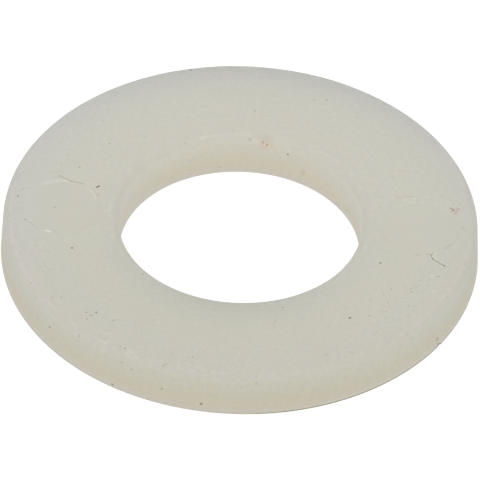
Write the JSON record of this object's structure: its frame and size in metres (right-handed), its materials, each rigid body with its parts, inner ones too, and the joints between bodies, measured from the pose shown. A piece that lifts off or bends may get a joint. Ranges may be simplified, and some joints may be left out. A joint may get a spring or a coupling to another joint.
{
  "type": "flat washer",
  "caption": "Plain round flat washer of natural nylon: a flat ring with a clearance bore that spreads a bolt head's or nut's load.",
  "frame": {"origin": "centre of the bore at the lower face, which is the face on the mould's parting plane and the one the washer rests on", "axes": "+Z along the bore, from the lower face to the upper face with the two ejector-pin marks; +X from the bore's centre through one of those marks; +Y completes the right-handed frame"},
  "size_m": [0.021, 0.021, 0.002],
  "materials": {
    "natural_nylon": "satin, translucent off-white natural nylon"
  },
  "bodies": {
    "root": {"washer": "natural_nylon"}
  },
  "joints": []
}
